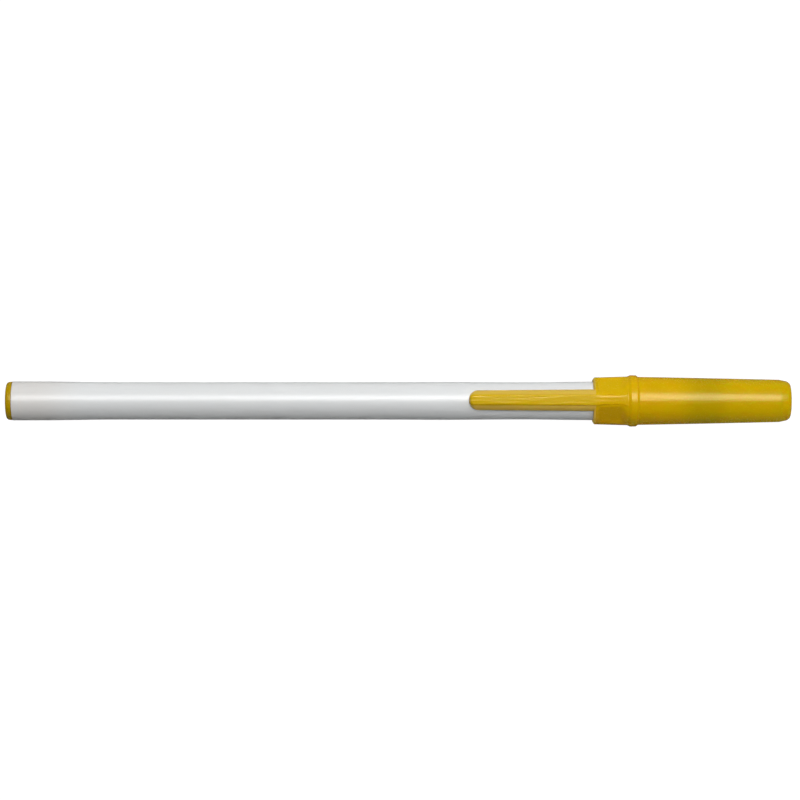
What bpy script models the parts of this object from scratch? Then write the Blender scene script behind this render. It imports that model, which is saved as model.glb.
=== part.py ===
"""Counterfeit detector pen: a capped fibre-tip stick pen that marks banknote paper with iodine solution.

The pen lies along +X with its rear end at the origin, its cap towards +X and the pocket clip on top (+Z).
Everything turned is spun about the X axis. All sizes are metres.
"""

import math

import bmesh
import bpy

MM = 0.001

# Driving dimensions
OVERALL_LENGTH = 149.2 * MM
BARREL_RADIUS = 3.55 * MM  # the plain middle of the barrel
BORE_RADIUS = 2.75 * MM
CAP_MOUTH_X = 111.6 * MM  # where the cap's open end sits on the barrel
CLIP_TIP_X = 87.9 * MM
CLIP_TOP_Z = 4.8 * MM  # just under the flange's crest

# Gaps between separate pieces
PRESS_GAP = 0.05 * MM
SLIDE_GAP = 0.06 * MM
SEAT_GAP = 0.3 * MM

SEGMENTS = 48  # facets round the pen
ARC_STEPS = 5  # facets along a rounded edge

# Barrel
BARREL_X = 1.15 * MM
BARREL_FRONT_X = 129.8 * MM
REAR_FLARE_RADIUS = 3.72 * MM  # stretched over the end plug
REAR_FLARE_END_X = 6.0 * MM
REAR_FLARE_TAPER_END_X = 20.0 * MM
FRONT_FLARE_RADIUS = 3.66 * MM  # thicker where the cap grips
FRONT_FLARE_TAPER_X = 104.0 * MM
FRONT_FLARE_X = 112.5 * MM
PLUG_SEAT_RADIUS = 2.98 * MM
PLUG_SEAT_END_X = 10.5 * MM
BARREL_RIB_COUNT = 6
BARREL_RIB_TIP_RADIUS = 2.48 * MM
BARREL_RIB_SPAN = (26.0 * MM, 115.0 * MM)
EDGE_BREAK = 0.12 * MM

# End plug
PLUG_RIM_RADIUS = 3.66 * MM
PLUG_EDGE_ROUND = 0.72 * MM
PLUG_STEM_END_X = 9.0 * MM
PLUG_VENT_COUNT = 3

# Ink reservoir
RESERVOIR_SPAN = (30.0 * MM, 117.2 * MM)
RESERVOIR_CORE_RADIUS = 2.30 * MM
FILM_THICKNESS = 0.1 * MM
FILM_SETBACK = 0.3 * MM

# Nib and nose section
NIB_RADIUS = 1.10 * MM
NIB_TIP_RADIUS = 0.45 * MM
NIB_SPAN = (112.6 * MM, 142.0 * MM)
NIB_TAPER = 1.9 * MM
NOSE_X = 117.5 * MM
NOSE_CORED_END_X = 121.0 * MM
NOSE_CORED_RADIUS = 1.90 * MM
NOSE_COLLAR_RADIUS = 3.30 * MM
NOSE_COLLAR_END_X = 131.0 * MM
NOSE_LAND_RADIUS = 1.80 * MM
NOSE_LAND_SPAN = (134.6 * MM, 138.8 * MM)
NOSE_TIP_X = 139.6 * MM
NOSE_TIP_RADIUS = 1.42 * MM
NOSE_VENT_COUNT = 4
NOSE_VENT_RADIUS = 1.35 * MM

# Cap shell
CAP_MOUTH_RADIUS = 4.45 * MM
CAP_SKIRT_END_RADIUS = 4.63 * MM
FLANGE_SPAN = (118.3 * MM, 119.8 * MM)
FLANGE_RADII = (4.90 * MM, 4.86 * MM)
FLANGE_CHAMFER = 0.35 * MM
CAP_BODY_RADIUS = 4.57 * MM
CAP_BODY_END_RADIUS = 4.02 * MM
CAP_BODY_TAPER_POWER = 1.15  # the taper quickens slightly towards the closed end
CAP_SHELL_END_X = 147.2 * MM
CAP_BORE_RADIUS = 3.86 * MM
CAP_RIB_COUNT = 6
CAP_RIB_SPAN = (119.5 * MM, 129.0 * MM)
CAP_STOP_X = BARREL_FRONT_X + SEAT_GAP
CAP_STOP_BORE_RADIUS = 3.45 * MM
CAP_SEAL_BORE_RADIUS = 3.05 * MM
CAP_SEAL_BORE_X = 142.5 * MM

# Inner seal: a cup over the nose, on a plug that closes the cap's far end
SEAL_MOUTH_X = 135.1 * MM
SEAL_CUP_FLOOR_X = 142.8 * MM
SEAL_CUP_RADIUS = 2.35 * MM
SEAL_PLUG_X = 143.3 * MM
SEAL_FACE_RADIUS = 3.20 * MM
SEAL_CHAMFER_END_RADIUS = 3.66 * MM
SEAL_CHAMFER_END_X = 148.7 * MM
SEAL_VENT_COUNT = 4
SEAL_VENT_RADIUS = 0.35 * MM
SEAL_VENT_CIRCLE_RADIUS = 2.75 * MM

# Pocket clip: a bar with rounded flanks and a flat-topped rib along its middle.
# Its levels, from the underside up, are (half width, tip setback, depth below the rib's top).
CLIP_THICKNESS = 0.9 * MM  # at the cap's mouth
CLIP_LEVELS = (
    (1.50 * MM, 0.30 * MM, CLIP_THICKNESS),
    (1.86 * MM, 0.00 * MM, 0.80 * MM),
    (1.70 * MM, 0.10 * MM, 0.52 * MM),
    (0.97 * MM, 0.32 * MM, 0.28 * MM),
    (0.72 * MM, 0.57 * MM, 0.00 * MM),
)
CLIP_THINNING = 0.28  # share of the thickness lost from the cap's mouth to the tip
CLIP_ROOT_GAP = 0.35 * MM
CLIP_ROOT_WIDENING = 0.19 * MM  # half width gained from tip to root
CLIP_NUB_SETBACK = 2.2 * MM
CLIP_NUB_RADII = (1.2 * MM, 0.95 * MM, 0.42 * MM)
CLIP_NUB_BOTTOM_Z = BARREL_RADIUS + SEAT_GAP
TIP_STEPS = 12  # facets round a clip outline's tip


def clear_scene():
    for item in list(bpy.data.objects):
        bpy.data.objects.remove(item)


def plastic(name, colour, roughness, alpha=1.0):
    """A non-metal material with this colour and roughness."""
    material = bpy.data.materials.new(name)
    material.use_nodes = True
    shader = material.node_tree.nodes["Principled BSDF"]
    shader.inputs["Base Color"].default_value = (*colour, 1.0)
    shader.inputs["Roughness"].default_value = roughness
    shader.inputs["Metallic"].default_value = 0.0
    shader.inputs["Alpha"].default_value = alpha
    return material


def group(name, location, parent=None):
    """An empty that carries the pieces of one moving body."""
    empty = bpy.data.objects.new(name, None)
    empty.location = location
    empty.parent = parent
    bpy.context.scene.collection.objects.link(empty)
    return empty


def finished(name, bm, material, parent, location):
    """Turns a bmesh into a smooth-shaded object under its group."""
    bmesh.ops.recalc_face_normals(bm, faces=bm.faces)
    mesh = bpy.data.meshes.new(name)
    bm.to_mesh(mesh)
    bm.free()
    mesh.shade_smooth()
    mesh.set_sharp_from_angle(angle=math.radians(30))
    mesh.materials.append(material)
    piece = bpy.data.objects.new(name, mesh)
    piece.location = location
    piece.parent = parent
    bpy.context.scene.collection.objects.link(piece)
    return piece


def spun(outline):
    """A bmesh of (x, radius) points spun about the X axis. An outline that starts on the axis ends on it."""
    bm = bmesh.new()
    verts = [bm.verts.new((x, 0.0, radius)) for x, radius in outline]
    ends = verts[1:] if outline[0][1] == 0.0 else verts[1:] + verts[:1]
    edges = [bm.edges.new(pair) for pair in zip(verts, ends)]
    bmesh.ops.spin(
        bm,
        geom=verts + edges,
        cent=(0.0, 0.0, 0.0),
        axis=(1.0, 0.0, 0.0),
        angle=math.tau,
        steps=SEGMENTS,
        use_merge=True,
        use_duplicate=False,
    )
    bmesh.ops.remove_doubles(bm, verts=bm.verts, dist=0.001 * MM)
    return bm


def flute(bm, span, radius, new_radius, count):
    """Moves evenly spaced lines of points on a round wall to a new radius, as ribs or as grooves."""
    spacing = SEGMENTS // count
    for vert in bm.verts:
        on_wall = abs(math.hypot(vert.co.y, vert.co.z) - radius) < 0.02 * MM
        column = round(math.atan2(vert.co.y, vert.co.z) / math.tau * SEGMENTS)
        if on_wall and span[0] < vert.co.x < span[1] and column % spacing == 0:
            vert.co.y *= new_radius / radius
            vert.co.z *= new_radius / radius


def rounded_edge(centre_x, centre_radius, size, start, end):
    """Points of an arc in the (x, radius) plane, from one angle to another in degrees."""
    points = []
    for step in range(ARC_STEPS + 1):
        angle = math.radians(start + (end - start) * step / ARC_STEPS)
        points.append((centre_x + size * math.cos(angle), centre_radius + size * math.sin(angle)))
    return points


def eased(share):
    """0 to 1 with no corner at either end."""
    return share * share * (3.0 - 2.0 * share)


def flare(start, end, steps=4):
    """Points that ease from one (x, radius) to another, both included."""
    points = []
    for step in range(steps + 1):
        share = step / steps
        points.append((start[0] + (end[0] - start[0]) * share, start[1] + (end[1] - start[1]) * eased(share)))
    return points


def shifted(outline, x):
    """The outline with its x measured from a piece's own origin."""
    return [(point_x - x, radius) for point_x, radius in outline]


def make_barrel(material, parent):
    """White tube, open at both ends, with ribs inside that hold the reservoir off the wall."""
    outer = [(BARREL_X, REAR_FLARE_RADIUS - EDGE_BREAK), (BARREL_X + EDGE_BREAK, REAR_FLARE_RADIUS)]
    outer += flare((REAR_FLARE_END_X, REAR_FLARE_RADIUS), (REAR_FLARE_TAPER_END_X, BARREL_RADIUS))
    outer += flare((FRONT_FLARE_TAPER_X, BARREL_RADIUS), (FRONT_FLARE_X, FRONT_FLARE_RADIUS))
    outer += [
        (BARREL_FRONT_X - 2 * EDGE_BREAK, FRONT_FLARE_RADIUS),
        (BARREL_FRONT_X, FRONT_FLARE_RADIUS - EDGE_BREAK),
    ]
    rib_start, rib_end = BARREL_RIB_SPAN
    ramp = 1.0 * MM
    bore = [
        (BARREL_FRONT_X, BORE_RADIUS),
        (rib_end + ramp, BORE_RADIUS),
        (rib_end, BORE_RADIUS),
        (rib_start, BORE_RADIUS),
        (rib_start - ramp, BORE_RADIUS),
        (PLUG_SEAT_END_X + PLUG_SEAT_RADIUS - BORE_RADIUS, BORE_RADIUS),
        (PLUG_SEAT_END_X, PLUG_SEAT_RADIUS),
        (BARREL_X, PLUG_SEAT_RADIUS),
    ]
    bm = spun(shifted(outer + bore, BARREL_X))
    span = (rib_start - ramp / 2 - BARREL_X, rib_end + ramp / 2 - BARREL_X)
    flute(bm, span, BORE_RADIUS, BARREL_RIB_TIP_RADIUS, BARREL_RIB_COUNT)
    finished("barrel", bm, material, parent, (BARREL_X, 0.0, 0.0))


def make_end_plug(material, parent):
    """Button head on a hollow stem pressed into the barrel's rear end, with grooves that let air out."""
    head_x = BARREL_X - PRESS_GAP
    stem_radius = PLUG_SEAT_RADIUS - PRESS_GAP
    hollow_radius = stem_radius - 0.8 * MM
    lead_in = 0.5 * MM
    outline = [(0.0, 0.0)]
    outline += rounded_edge(PLUG_EDGE_ROUND, PLUG_RIM_RADIUS - PLUG_EDGE_ROUND, PLUG_EDGE_ROUND, 180, 90)
    outline += [
        (head_x, PLUG_RIM_RADIUS),
        (head_x, stem_radius),
        (head_x + lead_in, stem_radius),
        (PLUG_STEM_END_X - lead_in, stem_radius),
        (PLUG_STEM_END_X, stem_radius - lead_in / 2),
        (PLUG_STEM_END_X, hollow_radius),
        (head_x + lead_in, hollow_radius),
        (head_x + lead_in, 0.0),
    ]
    bm = spun(outline)
    flute(bm, (head_x + lead_in / 2, PLUG_STEM_END_X), stem_radius, stem_radius - 0.2 * MM, PLUG_VENT_COUNT)
    finished("end_plug", bm, material, parent, (0.0, 0.0, 0.0))


def make_reservoir(core_material, film_material, parent):
    """Fibre rod that holds the iodine solution, and the film wrapped round it."""
    start, end = RESERVOIR_SPAN
    socket_radius = NIB_RADIUS + PRESS_GAP
    core = [
        (start, 0.0),
        (start, RESERVOIR_CORE_RADIUS),
        (end, RESERVOIR_CORE_RADIUS),
        (end, socket_radius),
        (NIB_SPAN[0] - SEAT_GAP, socket_radius),
        (NIB_SPAN[0] - SEAT_GAP, 0.0),
    ]
    finished("reservoir_core", spun(shifted(core, start)), core_material, parent, (start, 0.0, 0.0))
    film_inside = RESERVOIR_CORE_RADIUS + PRESS_GAP / 2
    film_outside = film_inside + FILM_THICKNESS
    film_start, film_end = start + FILM_SETBACK, end - FILM_SETBACK
    film = [
        (film_start, film_inside),
        (film_start, film_outside),
        (film_end, film_outside),
        (film_end, film_inside),
    ]
    bm = spun(shifted(film, film_start))
    finished("reservoir_film", bm, film_material, parent, (film_start, 0.0, 0.0))


def make_nose_section(material, parent):
    """Holds the nib: a stem in the barrel, a collar against its rim, a cone and the land the seal cup closes on."""
    stem_radius = BORE_RADIUS - PRESS_GAP
    nib_bore = NIB_RADIUS + PRESS_GAP
    collar_x = BARREL_FRONT_X + PRESS_GAP
    land_start, land_end = NOSE_LAND_SPAN
    outline = [
        (NOSE_X, stem_radius - 0.3 * MM),
        (NOSE_X + 0.6 * MM, stem_radius),
        (collar_x, stem_radius),
        (collar_x, NOSE_COLLAR_RADIUS),
        (NOSE_COLLAR_END_X - EDGE_BREAK, NOSE_COLLAR_RADIUS),
        (NOSE_COLLAR_END_X, NOSE_COLLAR_RADIUS - EDGE_BREAK),
    ]
    outline += flare((NOSE_COLLAR_END_X, NOSE_COLLAR_RADIUS - 0.3 * MM), (land_start, NOSE_LAND_RADIUS))
    outline += [
        (land_end, NOSE_LAND_RADIUS),
        (NOSE_TIP_X - EDGE_BREAK, NOSE_TIP_RADIUS + EDGE_BREAK),
        (NOSE_TIP_X, NOSE_TIP_RADIUS),
        (NOSE_TIP_X, nib_bore),
        (NOSE_TIP_X - 0.8 * MM, nib_bore),
        (NOSE_CORED_END_X + 0.8 * MM, nib_bore),
        (NOSE_CORED_END_X, nib_bore),
        (NOSE_CORED_END_X, NOSE_CORED_RADIUS),
        (NOSE_X, NOSE_CORED_RADIUS),
    ]
    bm = spun(shifted(outline, NOSE_X))
    vents = (NOSE_CORED_END_X - NOSE_X - 0.1 * MM, NOSE_TIP_X - NOSE_X - 0.1 * MM)
    flute(bm, vents, nib_bore, NOSE_VENT_RADIUS, NOSE_VENT_COUNT)
    finished("nose_section", bm, material, parent, (NOSE_X, 0.0, 0.0))


def make_nib(material, parent):
    """Bonded fibre rod with a bullet point, its tail inside the reservoir."""
    tail, tip = NIB_SPAN
    shoulder = tip - NIB_TAPER
    tip_centre = tip - NIB_TIP_RADIUS
    outline = [(tail, 0.0), (tail, NIB_RADIUS - EDGE_BREAK), (tail + 2 * EDGE_BREAK, NIB_RADIUS)]
    outline += [(shoulder, NIB_RADIUS), (shoulder + NIB_TAPER / 2, NIB_RADIUS * 0.84)]
    outline += rounded_edge(tip_centre, 0.0, NIB_TIP_RADIUS, 60, 0)[:-1]
    outline.append((tip, 0.0))
    finished("fibre_nib", spun(shifted(outline, tail)), material, parent, (tail, 0.0, 0.0))


def cap_body_outline():
    """The outside of the cap from its flange to its far end."""
    start = FLANGE_SPAN[1] + FLANGE_CHAMFER
    points = []
    steps = 6
    for step in range(steps + 1):
        share = step / steps
        drop = (CAP_BODY_RADIUS - CAP_BODY_END_RADIUS) * share**CAP_BODY_TAPER_POWER
        points.append((start + (CAP_SHELL_END_X - start) * share, CAP_BODY_RADIUS - drop))
    return points


def clip_bar(root_x, origin, skirted=False):
    """A bmesh of the clip's bar: one outline per level, bridged. Skirted sides drop straight from the widest one."""
    bm = bmesh.new()
    loops = []
    for half_width, setback, depth in CLIP_LEVELS:
        if skirted and depth == CLIP_THICKNESS:
            half_width = CLIP_LEVELS[1][0]
        loops.append(clip_outline(bm, half_width, root_x, CLIP_TIP_X + setback, depth, origin))
    for lower, upper in zip(loops, loops[1:]):
        bmesh.ops.bridge_loops(bm, edges=lower + upper)
    for loop in (loops[0], loops[-1]):
        bmesh.ops.contextual_create(bm, geom=loop)
    return bm


def clip_outline(bm, half_width, root_x, tip_x, depth, origin):
    """One closed outline of the bar in plan: straight sides that widen to the root, and a round tip."""
    root_half = half_width + CLIP_ROOT_WIDENING
    centre_x = tip_x + half_width
    plan = [(root_x, root_half)]
    for step in range(TIP_STEPS + 1):
        angle = math.pi / 2 + math.pi * step / TIP_STEPS
        plan.append((centre_x + half_width * math.cos(angle), half_width * math.sin(angle)))
    plan.append((root_x, -root_half))
    verts = []
    for x, y in plan:
        along = max(0.0, (CAP_MOUTH_X - x) / (CAP_MOUTH_X - CLIP_TIP_X))
        z = CLIP_TOP_Z - depth * (1.0 - CLIP_THINNING * along)
        verts.append(bm.verts.new((x - origin[0], y - origin[1], z - origin[2])))
    return [bm.edges.new(pair) for pair in zip(verts, verts[1:] + verts[:1])]


def helper(name, bm, parent, location):
    """An object that only a Boolean modifier uses."""
    piece = finished(name, bm, bpy.data.materials["yellow_plastic"], parent, location)
    piece.hide_render = True
    piece.display_type = "WIRE"
    return piece


def combine(piece, other, operation):
    """Adds a Boolean modifier that joins or cuts another object."""
    modifier = piece.modifiers.new(other.name, "BOOLEAN")
    modifier.operation = operation
    modifier.object = other


def make_cap_shell(material, parent):
    """Outer cap: a skirt round the barrel, a flange, a tapered body and the block that the clip grows from."""
    lip = 0.1 * MM
    outer = [(CAP_MOUTH_X, CAP_MOUTH_RADIUS - lip), (CAP_MOUTH_X + lip, CAP_MOUTH_RADIUS)]
    outer += [(FLANGE_SPAN[0], CAP_SKIRT_END_RADIUS), (FLANGE_SPAN[0], FLANGE_RADII[0])]
    outer += [(FLANGE_SPAN[1], FLANGE_RADII[1])]
    outer += cap_body_outline()
    rib_start, rib_end = CAP_RIB_SPAN
    ramp = 0.8 * MM
    bore = [
        (CAP_SHELL_END_X, CAP_SEAL_BORE_RADIUS),
        (CAP_SEAL_BORE_X, CAP_SEAL_BORE_RADIUS),
        (CAP_STOP_X, CAP_STOP_BORE_RADIUS),
        (CAP_STOP_X, CAP_BORE_RADIUS),
        (rib_end, CAP_BORE_RADIUS),
        (rib_end - ramp, CAP_BORE_RADIUS),
        (rib_start + ramp, CAP_BORE_RADIUS),
        (rib_start, CAP_BORE_RADIUS),
        (CAP_MOUTH_X + 3 * lip, CAP_BORE_RADIUS),
        (CAP_MOUTH_X, CAP_BORE_RADIUS + lip),
    ]
    bm = spun(shifted(outer + bore, CAP_MOUTH_X))
    ribs = (rib_start + ramp / 2 - CAP_MOUTH_X, rib_end - ramp / 2 - CAP_MOUTH_X)
    flute(bm, ribs, CAP_BORE_RADIUS, FRONT_FLARE_RADIUS + SLIDE_GAP, CAP_RIB_COUNT)
    shell = finished("cap_shell", bm, material, parent, (0.0, 0.0, 0.0))
    block_start = CAP_MOUTH_X + PRESS_GAP
    block_end = (FLANGE_SPAN[0] + FLANGE_SPAN[1]) / 2
    block = clip_bar(block_end, (CAP_MOUTH_X, 0.0, 0.0), skirted=True)
    cut = bmesh.ops.bisect_plane(
        block,
        geom=block.verts[:] + block.edges[:] + block.faces[:],
        plane_co=(block_start - CAP_MOUTH_X, 0.0, 0.0),
        plane_no=(-1.0, 0.0, 0.0),
        clear_outer=True,
    )
    bmesh.ops.contextual_create(block, geom=[e for e in cut["geom_cut"] if isinstance(e, bmesh.types.BMEdge)])
    combine(shell, helper("clip_block", block, parent, (0.0, 0.0, 0.0)), "UNION")


def make_clip(material, parent):
    """The free length of the clip. Its own origin is the line it bends open about."""
    origin = (CAP_MOUTH_X - CLIP_ROOT_GAP / 2, 0.0, CLIP_TOP_Z - CLIP_THICKNESS / 2)
    location = (origin[0] - CAP_MOUTH_X, 0.0, origin[2])
    root_x = CAP_MOUTH_X + PRESS_GAP - CLIP_ROOT_GAP
    clip = finished("cap_clip", clip_bar(root_x, origin), material, parent, location)
    nub = bmesh.new()
    bmesh.ops.create_uvsphere(nub, u_segments=20, v_segments=10, radius=1.0)
    bmesh.ops.scale(nub, vec=CLIP_NUB_RADII, verts=nub.verts)
    nub_x = CLIP_TIP_X + CLIP_NUB_SETBACK
    nub_z = CLIP_NUB_BOTTOM_Z + CLIP_NUB_RADII[2]
    bmesh.ops.translate(nub, vec=(nub_x - origin[0], 0.0, nub_z - origin[2]), verts=nub.verts)
    combine(clip, helper("clip_nub", nub, parent, location), "UNION")


def make_inner_seal(material, parent):
    """Seal cup that closes on the nose, on a plug whose bevelled head ends the cap. Four vents run through the plug."""
    cup_bore = NOSE_LAND_RADIUS + PRESS_GAP
    plug_radius = CAP_SEAL_BORE_RADIUS - PRESS_GAP
    head_x = CAP_SHELL_END_X + PRESS_GAP
    lead_in = 0.2 * MM
    outline = [
        (SEAL_CUP_FLOOR_X, 0.0),
        (SEAL_CUP_FLOOR_X, cup_bore),
        (SEAL_MOUTH_X + lead_in, cup_bore),
        (SEAL_MOUTH_X, cup_bore + lead_in / 2),
        (SEAL_MOUTH_X, SEAL_CUP_RADIUS),
        (SEAL_PLUG_X - 2 * lead_in, SEAL_CUP_RADIUS),
        (SEAL_PLUG_X, plug_radius),
        (head_x, plug_radius),
        (head_x, CAP_BODY_END_RADIUS - PRESS_GAP),
        (SEAL_CHAMFER_END_X, SEAL_CHAMFER_END_RADIUS),
        (OVERALL_LENGTH - EDGE_BREAK, SEAL_FACE_RADIUS + 2 * EDGE_BREAK),
        (OVERALL_LENGTH, SEAL_FACE_RADIUS),
        (OVERALL_LENGTH, 0.0),
    ]
    location = (SEAL_MOUTH_X - CAP_MOUTH_X, 0.0, 0.0)
    seal = finished("cap_inner_seal", spun(shifted(outline, SEAL_MOUTH_X)), material, parent, location)
    vent_length = OVERALL_LENGTH - SEAL_PLUG_X + 4.0 * MM
    vent_x = (SEAL_PLUG_X + OVERALL_LENGTH) / 2 - SEAL_MOUTH_X
    for index in range(SEAL_VENT_COUNT):
        angle = math.tau * (index + 0.5) / SEAL_VENT_COUNT
        vent = bmesh.new()
        bmesh.ops.create_cone(
            vent,
            cap_ends=True,
            segments=16,
            radius1=SEAL_VENT_RADIUS,
            radius2=SEAL_VENT_RADIUS,
            depth=vent_length,
        )
        cutter = helper(f"seal_vent_{index + 1}", vent, parent, location)
        cutter.location.x += vent_x
        cutter.location.y = SEAL_VENT_CIRCLE_RADIUS * math.sin(angle)
        cutter.location.z = SEAL_VENT_CIRCLE_RADIUS * math.cos(angle)
        cutter.rotation_euler.y = math.pi / 2
        combine(seal, cutter, "DIFFERENCE")


def main():
    clear_scene()
    white = plastic("white_plastic", (0.78, 0.79, 0.78), 0.35)
    yellow = plastic("yellow_plastic", (0.69, 0.42, 0.005), 0.3)
    fibre = plastic("reservoir_fibre", (0.55, 0.30, 0.08), 0.9)
    film = plastic("clear_film", (0.9, 0.9, 0.9), 0.1, alpha=0.35)
    felt = plastic("nib_felt", (0.50, 0.26, 0.07), 0.85)

    pen = group("pen", (0.0, 0.0, 0.0))
    make_barrel(white, pen)
    make_end_plug(yellow, pen)
    make_reservoir(fibre, film, pen)
    make_nose_section(white, pen)
    make_nib(felt, pen)

    cap = group("cap", (CAP_MOUTH_X, 0.0, 0.0), parent=pen)
    make_cap_shell(yellow, cap)
    make_inner_seal(yellow, cap)
    make_clip(yellow, cap)


main()
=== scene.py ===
"""Looks of the counterfeit detector pen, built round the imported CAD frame.

The pen lies along +X, rear end at the origin, with its clip on top (+Z).
Shapes are worked out in millimetres.
"""

import math

import bmesh
import bpy
import numpy as np
from mathutils import Matrix, Vector


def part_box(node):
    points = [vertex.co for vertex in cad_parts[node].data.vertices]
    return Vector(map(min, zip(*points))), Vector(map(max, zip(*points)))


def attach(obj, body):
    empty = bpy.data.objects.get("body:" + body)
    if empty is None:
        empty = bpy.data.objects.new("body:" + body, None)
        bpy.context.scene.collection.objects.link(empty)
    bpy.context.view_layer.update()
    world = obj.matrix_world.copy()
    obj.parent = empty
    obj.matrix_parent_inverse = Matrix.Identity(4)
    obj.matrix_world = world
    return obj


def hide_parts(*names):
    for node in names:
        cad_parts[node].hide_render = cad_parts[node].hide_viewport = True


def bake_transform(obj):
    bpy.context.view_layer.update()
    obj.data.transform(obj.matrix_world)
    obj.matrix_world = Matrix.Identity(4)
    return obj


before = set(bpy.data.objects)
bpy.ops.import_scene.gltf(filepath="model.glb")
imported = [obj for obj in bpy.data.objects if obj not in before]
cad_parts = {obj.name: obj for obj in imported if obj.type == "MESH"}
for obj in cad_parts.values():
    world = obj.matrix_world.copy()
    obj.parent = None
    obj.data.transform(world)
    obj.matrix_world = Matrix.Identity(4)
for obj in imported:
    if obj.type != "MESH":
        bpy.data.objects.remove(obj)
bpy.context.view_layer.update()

MM = 0.001

# Places that come from the frame, in millimetres
REAR_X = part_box("end_plug")[0].x / MM
BARREL_X, BARREL_END_X = (corner.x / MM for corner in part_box("barrel"))
MOUTH_X, SHELL_END_X = (corner.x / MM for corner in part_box("cap_shell"))
CLIP_TIP_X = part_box("cap_clip")[0].x / MM
CLIP_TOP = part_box("cap_clip")[1].z / MM
NOSE_X, NOSE_TIP_X = (corner.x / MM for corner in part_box("nose_section"))
NIB_X, NIB_TIP_X = (corner.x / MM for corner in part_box("fibre_nib"))
SEAL_X, END_X = (corner.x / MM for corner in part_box("cap_inner_seal"))
PLUG_END_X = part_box("end_plug")[1].x / MM
FLANGE_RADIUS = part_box("cap_shell")[1].y / MM

COLUMNS = 128  # facets round a turned piece
SHARP = math.radians(50)  # an edge that bends more than this isn't shaded smooth
WHITE = (1.0, 1.0, 1.0, 1.0)


# Mesh helpers


class Skin:
    """A mesh under construction: rings of points, joined by strips of faces."""

    def __init__(self):
        self.points = []
        self.faces = []

    def add(self, points):
        start = len(self.points)
        self.points.extend(points)
        return list(range(start, len(self.points)))

    def strip(self, one, other, closed=True):
        """Faces between two lines of points. Points that the lines share collapse to triangles."""
        count = len(one)
        for index in range(count if closed else count - 1):
            following = (index + 1) % count
            corners = [one[index], one[following], other[following], other[index]]
            face = [corner for place, corner in enumerate(corners) if corner != corners[place - 1]]
            if len(face) > 2:
                self.faces.append(face)

    def piece(self, name, material, slot):
        mesh = bpy.data.meshes.new(name)
        mesh.from_pydata([Vector(point) * MM for point in self.points], [], self.faces)
        bm = bmesh.new()
        bm.from_mesh(mesh)
        bmesh.ops.recalc_face_normals(bm, faces=bm.faces)
        bm.to_mesh(mesh)
        bm.free()
        mesh.shade_smooth()
        mesh.set_sharp_from_angle(angle=SHARP)
        rest = mesh.attributes.new("rest", "FLOAT_VECTOR", "POINT")
        rest.data.foreach_set("vector", np.array(self.points, np.float32).ravel())
        mesh.materials.append(material)
        piece = bpy.data.objects.new(name, mesh)
        bpy.context.scene.collection.objects.link(piece)
        return piece


def soften(corners, steps=5):
    """A line through corners given as (*place, cut): each corner is rounded over its cut length."""
    places = [np.array(corner[:-1], float) for corner in corners]
    line = [places[0]]
    for before, place, after, corner in zip(places, places[1:], places[2:], corners[1:]):
        cut = corner[-1]
        start = place + (before - place) * min(0.49, cut / np.linalg.norm(before - place))
        end = place + (after - place) * min(0.49, cut / np.linalg.norm(after - place))
        for share in np.linspace(0.0, 1.0, steps + 1) if cut else [0.5]:
            line.append((1 - share) ** 2 * start + 2 * share * (1 - share) * place + share**2 * end)
    return line + [places[-1]]


def densify(line, step):
    """The same line with its long stretches divided so that no stretch is longer than step."""
    dense = [line[0]]
    for start, end in zip(line, line[1:]):
        parts = max(1, math.ceil(np.linalg.norm(end - start) / step - 1e-6))
        dense += [start + (end - start) * part / parts for part in range(1, parts + 1)]
    return dense


def resample(line, count):
    """The same line with another number of points, spread evenly over the old ones."""
    places = np.linspace(0, len(line) - 1, count)
    return list(np.array([np.interp(places, range(len(line)), axis) for axis in np.array(line).T]).T)


def eased(share):
    share = min(1.0, max(0.0, share))
    return share * share * (3.0 - 2.0 * share)


def ribbed(angle, count, half_width):
    """1 on the crest of each of count ribs round the axis, easing to 0 at half_width radians from it."""
    away = abs((angle / math.tau * count + 0.5) % 1.0 - 0.5) * math.tau / count
    return eased(1.0 - away / half_width)


def lathe(name, profile, material, slot, ribs=(1, 1.0)):
    """A piece turned about the X axis from (x, radius) or (x, radius, rib height) points."""
    skin = Skin()
    rings = []
    for x, radius, *height in profile:
        if radius == 0.0:
            rings.append(skin.add([(x, 0.0, 0.0)]) * COLUMNS)
            continue
        ring = []
        for column in range(COLUMNS):
            angle = math.tau * column / COLUMNS
            size = radius + (height[0] * ribbed(angle, *ribs) if height else 0.0)
            ring.append((x, size * math.sin(angle), size * math.cos(angle)))
        rings.append(skin.add(ring))
    if profile[0][1] > 0.0:
        rings.append(rings[0])
    for one, other in zip(rings, rings[1:]):
        skin.strip(one, other)
    return skin.piece(name, material, slot)


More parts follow.
